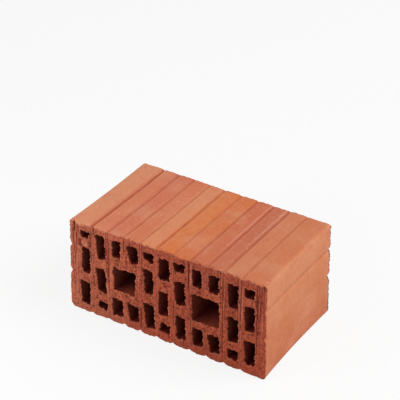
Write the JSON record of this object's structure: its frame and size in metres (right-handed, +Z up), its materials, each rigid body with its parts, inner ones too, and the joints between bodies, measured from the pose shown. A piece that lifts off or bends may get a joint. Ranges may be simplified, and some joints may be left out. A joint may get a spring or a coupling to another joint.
{
  "type": "perforated clay brick",
  "caption": "Perforated clay block with ribbed side faces, staggered slots and square grip holes running through it, lying on a ribbed side.",
  "frame": {"origin": "centre of the brick's footprint, on the plane of the rib crowns that it lies on", "axes": "+X along the brick's length, +Y along the holes from the front cut face to the back one, +Z up"},
  "size_m": [0.25, 0.14, 0.1199],
  "materials": {
    "fired_clay": "matte, unglazed, sandy"
  },
  "bodies": {
    "root": {"brick": "fired_clay"}
  },
  "joints": []
}
